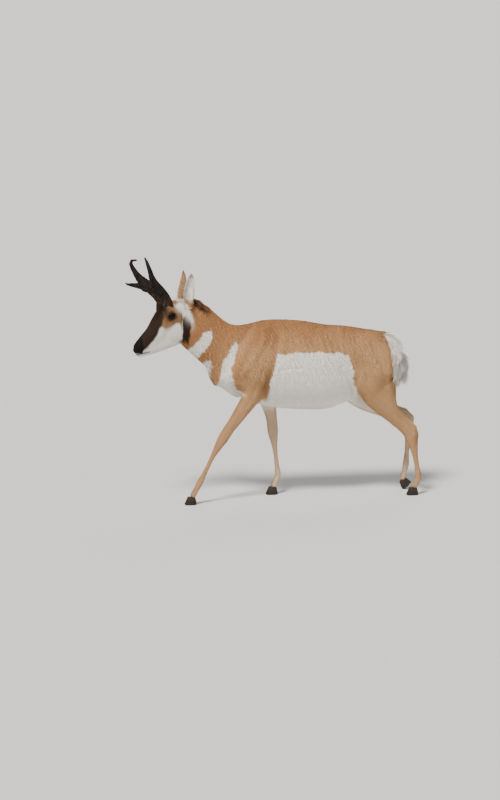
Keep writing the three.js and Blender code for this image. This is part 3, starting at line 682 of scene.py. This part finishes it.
def unwrapSkin(made):
    bpy.ops.object.select_all(action="DESELECT")
    made.select_set(True)
    bpy.context.view_layer.objects.active = made
    bpy.ops.object.mode_set(mode="EDIT")
    bpy.ops.mesh.select_all(action="SELECT")
    bpy.ops.uv.smart_project(angle_limit=math.radians(70), island_margin=0.0008)
    bpy.ops.object.mode_set(mode="OBJECT")
    layer = made.data.uv_layers[0]
    layer.name = "OFBake"
    flat = np.empty(len(made.data.loops) * 2, np.float32)
    layer.data.foreach_get("uv", flat)
    return flat.reshape(-1, 4, 2)


skinMap = unwrapSkin(skin)
print("skin unwrapped")


# Coat: small flat tapered tufts that lie along the body

# The way the hair points, in workshop axes
def lieDirection(places):
    x, y, z = places[:, 0], places[:, 1], places[:, 2]
    local = headFrame(places)
    side = np.sign(y)
    way = np.tile(np.array([1.0, 0.0, -0.30]), (len(places), 1))
    way[:, 2] = -0.12 - 0.42 * ramp(-z, -860, -640) + 0.25 * (1 - ramp(z, 540, 600))
    shoulder = (1 - ramp(x, -190, -120)) * ramp(z, 430, 520)
    way = mix(way, np.array([[0.62, 0.0, -0.78]]), 0.65 * shoulder)
    onNeck = 1 - ramp(x + 0.4 * (z - 700), -350, -250)
    way = mix(way, np.array([[0.72, 0.0, -0.70]]), onNeck)
    behind = ramp(x + 0.2 * (z - 700), 270, 400)
    way = mix(way, np.array([[0.42, 0.0, -0.90]]), behind)
    onLeg = 1 - ramp(z, 400, 560)
    down = np.stack([np.full(len(places), 0.12), 0 * side, np.full(len(places), -1.0)], 1)
    way = mix(way, down, onLeg)
    headShare = (1 - ramp(local[:, 0] + 0.35 * (local[:, 2] - 860), 4, 40)) * ramp(z, 690, 720)
    back = np.stack([
        np.full(len(places), 0.93), 0.25 * np.sign(local[:, 1]) * ramp(np.abs(local[:, 1]), 4, 20),
        0.30 - 0.5 * (1 - ramp(local[:, 2] - 0.6 * (local[:, 0] + 100), 800, 880)),
    ], 1)
    back = turnedOut(back)
    way = mix(way, back, headShare)
    onEar = ramp(z, 968, 990) * ramp(local[:, 0], -62, -50)
    way = mix(way, np.array([[0.10, 0.0, 1.0]]), onEar)
    return unit(way)


hairSizes = {
    "trunk": (0.015, 0.0022),
    "neck": (0.015, 0.0021),
    "rump": (0.017, 0.0022),
    "leg": (0.010, 0.0016),
    "shin": (0.0065, 0.0013),
    "head": (0.0070, 0.0012),
    "muzzle": (0.0036, 0.0008),
    "ear": (0.0058, 0.0010),
}


# Length and width of a tuft in metres
def hairSize(places):
    x, z = places[:, 0], places[:, 2]
    local = headFrame(places)
    size = {name: np.array([value]) for name, value in hairSizes.items()}
    found = np.tile(size["trunk"], (len(places), 1))
    found = mix(found, size["neck"], 1 - ramp(x, -330, -260))
    found = mix(found, size["rump"], ramp(x, 300, 400))
    found = mix(found, size["leg"], 1 - ramp(z, 400, 540))
    found = mix(found, size["shin"], 1 - ramp(z, 180, 330))
    headShare = (1 - ramp(local[:, 0] + 0.35 * (local[:, 2] - 860), -20, 40)) * ramp(z, 690, 720)
    found = mix(found, size["head"], headShare)
    found = mix(found, size["muzzle"], headShare * (1 - ramp(local[:, 0], -215, -150)))
    found = mix(found, size["ear"], ramp(z, 968, 990) * ramp(local[:, 0], -62, -50))
    for side in (-1, 1):
        found = found * (0.25 + 0.75 * ramp(eyeDistance(local, side), 24, 40))[:, None]
    return found


coatSettings = {
    "seed": 41,
    "coverTrunk": 4.3,
    "coverHead": 3.4,
    "coverLeg": 2.6,
    "lift": 0.13,
    "yawSpread": 0.22,
    "rollSpread": 0.32,
    "rippleTilt": 0.52,
    # Painted shade at each tuft's root and painted light at its tip
    "rootPaintedShade": 0.88,
    "tipPaintedLight": 1.06,
    "patch": 0.003,
    "mostTufts": 66000,
}


# Places on the skin where hair starts, with the skin's normal and its place on the skin's unwrap
class Roots:
    def __init__(self, places, normals, maps):
        self.places, self.normals, self.maps = places, normals, maps

    def chosen(self, which):
        return Roots(self.places[which], self.normals[which], self.maps[which])


# density gives tufts a square metre at face centres, or only their spread where a count is given
def scatterRoots(density, random, count=None):
    triangles = np.concatenate([skinQuads[:, [0, 1, 2]], skinQuads[:, [0, 2, 3]]])
    maps = np.concatenate([skinMap[:, [0, 1, 2]], skinMap[:, [0, 2, 3]]])
    a, b, c = (skinPoints[triangles[:, i]] for i in range(3))
    areas = np.linalg.norm(np.cross(b - a, c - a), axis=1) / 2
    wanted = areas * density((a + b + c) / 3)
    total = np.cumsum(wanted)
    count = count or int(total[-1])
    picks = np.searchsorted(total, (np.arange(count) + random.random(count)) / count * total[-1])
    picks = np.minimum(picks, len(triangles) - 1)
    u, v = random.random(len(picks)), random.random(len(picks))
    flip = u + v > 1
    u, v = np.where(flip, 1 - u, u)[:, None], np.where(flip, 1 - v, v)[:, None]
    corners = triangles[picks]

    def between(values):
        return values[:, 0] * (1 - u - v) + values[:, 1] * u + values[:, 2] * v

    normals = unit(between(skinNormals[corners]))
    return Roots(between(skinPoints[corners]), normals, between(maps[picks]))


# Flat blades. centres: blades x levels x 3 with the tip last; the other arrays go along with it
def bladeMesh(name, roots, centres, halfWidths, across, shading, colours, patch):
    count, levels = centres.shape[:2]
    lower = levels - 1
    left = centres[:, :lower] - across[:, None, :] * halfWidths[:, :, None]
    right = centres[:, :lower] + across[:, None, :] * halfWidths[:, :, None]
    points = np.concatenate([left, right, centres[:, lower:]], 1)
    perBlade = lower * 2 + 1
    start = (np.arange(count) * perBlade)[:, None]
    steps = np.arange(lower - 1)
    quads = np.stack([steps, steps + lower, steps + lower + 1, steps + 1], 1)
    quadFaces = (start[:, :, None] + quads[None]).reshape(-1, 4)
    tips = start + np.array([[lower - 1, lower * 2 - 1, lower * 2]])
    tone = np.concatenate([colours[:, :lower], colours[:, :lower], colours[:, lower:]], 1)
    bright = np.repeat(shading[:, None, :], perBlade, 1)
    rise = np.arange(levels) / lower
    offsets = np.concatenate([
        np.stack([np.full(lower, -0.5), rise[:lower]], 1),
        np.stack([np.full(lower, 0.5), rise[:lower]], 1),
        np.array([[0.0, 1.0]]),
    ]) * patch
    spots = np.clip(roots.maps[:, None, :] + offsets[None], 0.0, 1.0).reshape(-1, 2)
    cornerMaps = np.concatenate([spots[quadFaces.ravel()], spots[tips.ravel()]])
    return newMesh(
        name, points.reshape(-1, 3), [quadFaces, tips], normals=bright.reshape(-1, 3),
        colours=tone.reshape(-1, 3), maps=cornerMaps,
    )


# Short coat: each tuft leaves the skin along the lie and its tip stands just clear
def tuftPiece(name, roots, settings, random):
    count = len(roots.places)
    places = workshop(roots.places)
    sizes = hairSize(places)
    length = sizes[:, 0] * (0.75 + 0.5 * random.random(count))
    width = sizes[:, 1] * (0.8 + 0.4 * random.random(count))
    way = lieDirection(places)
    normals = roots.normals
    along = unit(way - normals * (way * normals).sum(1)[:, None])
    across = np.cross(along, normals)
    yaw = (random.random(count) - 0.5) * 2 * settings["yawSpread"] + waver(places, 26, 0.16, 1.0)
    along = along * np.cos(yaw)[:, None] + across * np.sin(yaw)[:, None]
    across = np.cross(along, normals)
    roll = (random.random(count) - 0.5) * 2 * settings["rollSpread"]
    across = across * np.cos(roll)[:, None] + normals * np.sin(roll)[:, None]
    lift = settings["lift"] * (0.6 + 0.8 * random.random(count)) * length
    centres = np.stack([
        roots.places - normals * 0.0007,
        roots.places + along * (length * 0.48)[:, None] + normals * (lift * 0.62)[:, None],
        roots.places + along * length[:, None] + normals * lift[:, None],
    ], 1)
    half = np.stack([width * 0.42, width * 0.5], 1)
    tone = coatColour(roots.places, roots.normals) * (1 + 0.14 * (random.random(count) - 0.5))[:, None]
    # Painted shade at the root of each tuft and painted light at its tip
    colours = np.stack([tone * settings["rootPaintedShade"], tone, tone * settings["tipPaintedLight"]], 1)
    face = np.cross(across, along)
    face = face * np.sign((face * normals).sum(1))[:, None]
    middle = workshop(roots.places + along * (length * 0.5)[:, None])
    tilt = settings["rippleTilt"] * ripples(middle)
    shading = unit(normals + 0.35 * face + along * tilt[:, None])
    colours = np.clip(colours, 0, 1)
    return bladeMesh(name, roots, centres, half, across, shading, colours, settings["patch"])


def coatDensity(points):
    places = workshop(points)
    sizes = hairSize(places)
    cover = np.full(len(points), coatSettings["coverTrunk"])
    onLeg = 1 - ramp(places[:, 2], 400, 540)
    cover = cover + (coatSettings["coverLeg"] - cover) * onLeg
    local = headFrame(places)
    onHead = (1 - ramp(local[:, 0], -20, 40)) * ramp(places[:, 2], 690, 720)
    cover = cover + (coatSettings["coverHead"] - cover) * onHead
    cover = cover + 2.4 * ramp(places[:, 2], 968, 990) * ramp(local[:, 0], -62, -50)
    density = cover / (sizes[:, 0] * sizes[:, 1] * 0.75)
    noseTip = (local[:, 0] < -241) & (local[:, 2] > 744)
    return np.where(noseTip, 0.0, np.minimum(density, 1.1e6))


# Which piece of the coat a root belongs to
def coatRegion(places):
    x, y, z = places[:, 0], places[:, 1], places[:, 2]
    region = np.where(y < 0, 0, 1)
    region = np.where(x < -300, 2, region)
    region = np.where(x > 300, 3, region)
    region = np.where(z < 430, np.where(x < 170, 4, 5), region)
    along = headFrame(places)[:, 0]
    region = np.where((along < -10) & (z > 690), np.where(headFrame(places)[:, 1] < 0, 6, 7), region)
    region = np.where((along >= -75) & (along < 80) & (z > 968), 8, region)
    return region


regionNames = [
    "coat_trunk_left", "coat_trunk_right", "coat_neck", "coat_rump", "coat_fore_legs", "coat_hind_legs",
    "coat_head_left", "coat_head_right", "coat_ears",
]
random = np.random.default_rng(coatSettings["seed"])
roots = scatterRoots(coatDensity, random)
regions = coatRegion(workshop(roots.places))
for number, name in enumerate(regionNames):
    chosen = np.flatnonzero(regions == number)
    found = len(chosen)
    if len(chosen) > coatSettings["mostTufts"]:
        chosen = np.sort(random.permutation(chosen)[:coatSettings["mostTufts"]])
    shown(tuftPiece(name, roots.chosen(chosen), coatSettings, random), coatStuff)
    print(name, "tufts", found, "kept", len(chosen))


# Long hair: the mane, the white rump, the tail, the ears' inner fringe and the lashes

longHair = {
    "seed": 19,
    "rump": {
        "count": 11000, "length": 0.058, "width": 0.0030,
        "lift": 0.34, "droop": 0.20, "yaw": 0.30,
    },
    "tail": {
        "count": 4500, "length": 0.062, "width": 0.0026,
        "lift": 0.14, "droop": 0.10, "yaw": 0.22,
    },
    "mane": {
        "count": 5200, "length": 0.040, "width": 0.0021,
        "lift": 0.75, "droop": 0.25, "yaw": 0.25,
    },
    "earFringe": {
        "count": 1800, "length": 0.013, "width": 0.0010,
        "lift": 0.35, "droop": 0.0, "yaw": 0.35,
    },
    "lashes": {
        "count": 150, "length": 0.012, "width": 0.0010,
        "lift": 1.1, "droop": 0.25, "yaw": 0.30,
    },
}


def curvedPiece(name, roots, way, settings, random, lengthShare=1.0, levels=6):
    count = len(roots.places)
    length = settings["length"] * lengthShare * (0.65 + 0.6 * random.random(count))
    width = settings["width"] * (0.75 + 0.5 * random.random(count))
    normals = roots.normals
    along = unit(way - normals * (way * normals).sum(1)[:, None])
    across = np.cross(along, normals)
    places = workshop(roots.places)
    yaw = (random.random(count) - 0.5) * 2 * settings["yaw"] + waver(places, 14, 0.30, 2.0)
    along = along * np.cos(yaw)[:, None] + across * np.sin(yaw)[:, None]
    across = np.cross(along, normals)
    lift = settings["lift"] * (0.5 + random.random(count))
    start = unit(along + normals * lift[:, None])
    roll = (random.random(count) - 0.5) * 1.4
    across = across * np.cos(roll)[:, None] + normals * np.sin(roll)[:, None]
    curl = (random.random((count, 3)) - 0.5) * 0.25
    share = np.linspace(0, 1, levels)[None, :, None]
    bend = np.array([0, 0, -1.0]) * settings["droop"] - normals * (lift * 0.45)[:, None] + curl
    centres = roots.places[:, None, :] - normals[:, None, :] * 0.001
    path = start[:, None, :] * share + bend[:, None, :] * share ** 2
    centres = centres + length[:, None, None] * path
    taper = np.interp(np.linspace(0, 1, levels)[:-1], [0, 0.25, 0.6, 1.0], [0.35, 0.5, 0.42, 0.12])
    half = width[:, None] * taper[None]
    tone = coatColour(roots.places, roots.normals) * (1 + 0.16 * (random.random(count) - 0.5))[:, None]
    # Painted shade at the roots of the long hairs, lighter towards the tips
    shade = np.linspace(0.80, 1.06, levels)[None, :, None]
    face = np.cross(across, start)
    face = face * np.sign((face * normals).sum(1))[:, None]
    shading = unit(normals * 0.9 + face * 0.5)
    colours = np.clip(tone[:, None, :] * shade, 0, 0.95)
    return bladeMesh(name, roots, centres, half, across, shading, colours, coatSettings["patch"])


def rumpShare(points):
    places = workshop(points)
    return outlineShare(places[:, 0], places[:, 2], rosette, 4) * (places[:, 2] > 590)


def inTail(points):
    places = workshop(points)
    x, y, z = places[:, 0], places[:, 1], places[:, 2]
    return (x > 492 - 0.5 * np.maximum(z - 690, 0)) & (np.abs(y) < 22) & (z < 716)


def crestShare(points):
    places = workshop(points)
    x, y, z = places[:, 0], places[:, 1], places[:, 2]
    middle = 1 - ramp(np.abs(y + 0.2 * np.minimum(x + 560, 0)), 8, 22)
    length = ramp(x, -556, -540) * (1 - ramp(x, -420, -300))
    return middle * length * (z > 800) * ramp(z + 0.86 * (x + 430), 830, 880)


def hairFor(share, settings):
    random = np.random.default_rng(longHair["seed"])

    def density(points):
        return np.maximum(share(points), 0) * 1e6

    spread = scatterRoots(density, random, settings["count"] // (1))
    return spread, random


rumpRoots, random = hairFor(
    lambda points: rumpShare(points) * ~inTail(points), longHair["rump"],
)
places = workshop(rumpRoots.places)
drop = -0.75 - 0.003 * (760 - places[:, 2])
fan = np.stack([np.full(len(places), 0.40), 0.010 * places[:, 1], drop], 1)
shown(curvedPiece("hair_rump", rumpRoots, unit(fan), longHair["rump"], random), coatStuff)
tailRoots, random = hairFor(lambda points: inTail(points) * 1.0, longHair["tail"])
down = np.tile(np.array([[0.10, 0.0, -1.0]]), (len(tailRoots.places), 1))
shown(curvedPiece("hair_tail", tailRoots, unit(down), longHair["tail"], random), coatStuff)
maneRoots, random = hairFor(crestShare, longHair["mane"])
places = workshop(maneRoots.places)
rise = np.tile(np.array([[0.80, 0.0, -0.35]]), (len(places), 1))
tallness = 0.35 + 0.80 * (1 - ramp(places[:, 0], -520, -410))
shown(curvedPiece("hair_mane", maneRoots, rise, longHair["mane"], random, tallness), coatStuff)


def earOpening(points):
    local = headFrame(workshop(points))
    along, z = local[:, 0], local[:, 2]
    return ((z > 985) & (z < 1095) & (along > -62) & (along < 8)) * 1.0


earRoots, random = hairFor(earOpening, longHair["earFringe"])
up = np.tile(np.array([[-0.10, 0.0, 1.0]]), (len(earRoots.places), 1))
shown(curvedPiece("hair_ears", earRoots, up, longHair["earFringe"], random, 1.0, 4), coatStuff)


def upperLid(points):
    local = headFrame(workshop(points))
    across, out, up = (
        local[:, 0] - eyeMiddle[0], np.abs(local[:, 1]) - eyeMiddle[1], local[:, 2] - eyeMiddle[2],
    )
    away = np.sqrt(across ** 2 + out ** 2 + up ** 2)
    ring = (away > 21.5) & (away < 25.5) & (up > 5) & (out > 2)
    return ring * 1.0


lashRoots, random = hairFor(upperLid, longHair["lashes"])
forward = np.tile(np.array([[-0.9, -0.2, 0.35]]), (len(lashRoots.places), 1))
lashes = curvedPiece("hair_lashes", lashRoots, forward, longHair["lashes"], random, 1.0, 4)
shown(lashes, coatStuff)
print("long hair made")


# Eyes

eyeLook = {
    "iris": (0.0060, 0.0026, 0.0016),
    "rim": (0.002, 0.0016, 0.0015),
    "pupil": (0.001, 0.001, 0.0012),
    "roughness": 0.22,
    "specular": 0.07,
    "wet": 0.07,
}


def eyePiece(word, settings):
    low, high = (np.array(v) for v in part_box(f"eye_{word}"))
    centre, radius = (low + high) / 2, (high - low).max() / 2
    side = -1 if word == "left" else 1
    outward = turnedOut(np.array([[-0.30, side * 0.95, 0.02]]))[0]
    outward = outward / np.linalg.norm(outward)
    bpy.ops.mesh.primitive_uv_sphere_add(segments=64, ring_count=40, radius=radius, location=(0, 0, 0))
    ball = bpy.context.active_object
    ball.name = f"eyeball_{word}"
    bpy.ops.object.shade_smooth()
    flat = np.empty(len(ball.data.vertices) * 3, np.float32)
    ball.data.vertices.foreach_get("co", flat)
    points = flat.reshape(-1, 3) / radius
    ahead = np.cross(outward, [0, 0, 1])
    ahead = ahead / np.linalg.norm(ahead)
    above = np.cross(ahead, outward)
    u, v, w = points @ ahead, points @ above, points @ outward
    tone = np.tile(np.array(settings["rim"]), (len(points), 1))
    disc = np.hypot(u, v)
    tone = mix(tone, np.array([settings["iris"]]), (1 - ramp(disc, 0.60, 0.72)) * ramp(w, 0, 0.1))
    pupil = (1 - ramp(np.hypot(u / 1.5, v / 0.75), 0.26, 0.33)) * ramp(w, 0, 0.1)
    tone = mix(tone, np.array([settings["pupil"]]), pupil)
    paint = ball.data.color_attributes.new("coat", "FLOAT_COLOR", "POINT")
    filled = np.ones((len(points), 4), np.float32)
    filled[:, :3] = tone
    paint.data.foreach_set("color", filled.ravel())
    ball.location = Vector(centre)
    return ball


eyeStuff = paintedMaterial("eye", eyeLook["roughness"], **{
    "Specular IOR Level": eyeLook["specular"], "Coat Weight": eyeLook["wet"], "Coat Roughness": 0.03,
})
for word in ("left", "right"):
    ball = eyePiece(word, eyeLook)
    shown(ball, eyeStuff)
    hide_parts(f"eye_{word}")
print("eyes made")


# Horns and hooves: the solids' own shapes, meshed finer, with the horn's long ridges and the hoof's
# growth lines

hornLook = {
    "step": 0.0016,
    "dark": (0.0055, 0.0045, 0.004),
    "brown": (0.030, 0.018, 0.012),
    "pale": (0.16, 0.11, 0.075),
    "ridge": 0.0006,
    "roughness": 0.58,
}
hoofLook = {
    "step": 0.0013,
    "dark": (0.012, 0.010, 0.008),
    "brown": (0.055, 0.040, 0.028),
    "roughness": 0.46,
}


def fineSolid(name, step, rounds):
    low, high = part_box(name)
    points, faces = solidMesh([name])
    field = Field(low, high, step).fill(points, faces, 4)
    points, quads = field.quads()
    return relaxed(points, quads, rounds), quads


hornStuff = paintedMaterial("horn", hornLook["roughness"], **{"Specular IOR Level": 0.13})
hoofStuff = paintedMaterial("hoof", hoofLook["roughness"], **{"Specular IOR Level": 0.25})


def noiseAt(places, scales, seed=0):
    scaled = places * np.array(scales)
    return np.array([noise.noise(Vector(one) + Vector((seed, 0, 0))) for one in scaled])


def hornPiece(word, settings):
    points, quads = fineSolid(f"horn_{word}", settings["step"], 3)
    normals = outwardNormals(points, quads)
    places = workshop(points)
    z = places[:, 2]
    ridges = noiseAt(places, (0.16, 0.16, 0.018))
    pits = noiseAt(places, (0.35, 0.35, 0.12), 40)
    low = 1 - ramp(z, 985, 1120)
    rough = settings["ridge"] * (1.0 + 1.8 * low)
    points = points + normals * (ridges * rough + pits * rough * 0.5)[:, None]
    tone = np.tile(settings["dark"], (len(points), 1))
    tone = mix(tone, np.array([settings["brown"]]), np.clip(0.25 + ridges, 0, 0.8))
    base = 1 - ramp(z, 985, 1040)
    tone = mix(tone, np.array([settings["brown"]]), 0.6 * base)
    tone = mix(tone, np.array([settings["pale"]]), 0.35 * ramp(ridges, 0.2, 0.5) * base)
    return newMesh(f"horn_{word}_fine", points, [quads], colours=tone)


for word in ("left", "right"):
    horn = shown(hornPiece(word, hornLook), hornStuff)
    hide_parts(f"horn_{word}")
print("horns made")


def hoofPiece(name, settings):
    points, quads = fineSolid(name, settings["step"], 2)
    places = workshop(points)
    lines = 0.5 + 0.5 * np.sin(places[:, 2] / 1.9 + waver(places, 14, 1.2))
    brownness = 0.45 * lines * ramp(places[:, 2], 8, 30) + 0.2
    tone = mix(np.tile(settings["dark"], (len(points), 1)), np.array([settings["brown"]]), brownness)
    return newMesh(f"{name}_fine", points, [quads], colours=tone)


for name in [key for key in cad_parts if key.startswith("claw_")]:
    hoof = shown(hoofPiece(name, hoofLook), hoofStuff)
    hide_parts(name)
print("hooves made")


# Studio: a wide pale floor under large soft lights

studioSettings = {
    "floorColour": (0.70, 0.69, 0.675),
    "floorReach": 70.0,
    "worldColour": (0.84, 0.86, 0.90),
    "worldStrength": 0.42,
    "key": {"from": (-2.3, -3.0, 5.4), "strength": 4.9, "spread": 14.0, "colour": (1.0, 0.95, 0.88)},
    "fill": {"from": (4.0, -4.5, 2.2), "strength": 0.28, "spread": 40.0, "colour": (0.88, 0.93, 1.0)},
    "back": {"from": (1.5, 3.2, 3.2), "strength": 0.55, "spread": 30.0, "colour": (1.0, 0.98, 0.95)},
}


def makeStudio(settings):
    reach = settings["floorReach"]
    points = np.array([(-reach, -reach, 0), (reach, -reach, 0), (reach, reach, 0), (-reach, reach, 0)])
    points[:, 2] = -0.0004
    floor = newMesh("studio_floor", points, [np.array([[0, 1, 2, 3]])])
    material, shader = newMaterial("studio_floor", 0.8)
    shader.inputs["Base Color"].default_value = (*settings["floorColour"], 1)
    floor.data.materials.append(material)
    floor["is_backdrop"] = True
    world = bpy.data.worlds.new("studio")
    world.use_nodes = True
    backdrop = world.node_tree.nodes["Background"]
    backdrop.inputs["Color"].default_value = (*settings["worldColour"], 1)
    backdrop.inputs["Strength"].default_value = settings["worldStrength"]
    bpy.context.scene.world = world


def softLight(name, settings):
    data = bpy.data.lights.new(name, "SUN")
    data.energy = settings["strength"]
    data.angle = math.radians(settings["spread"])
    data.color = settings["colour"]
    lamp = bpy.data.objects.new(name, data)
    lamp.location = settings["from"]
    lamp.rotation_euler = (-Vector(settings["from"])).to_track_quat("-Z", "Y").to_euler()
    bpy.context.scene.collection.objects.link(lamp)


makeStudio(studioSettings)
for name in ("key", "fill", "back"):
    softLight(name, studioSettings[name])
print("studio made")

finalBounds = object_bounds()


def plainList(bounds):
    return [[float(v) for v in part] if hasattr(part, "__len__") else float(part) for part in bounds]


{"cad": plainList(cadBounds), "scene": plainList(finalBounds)}
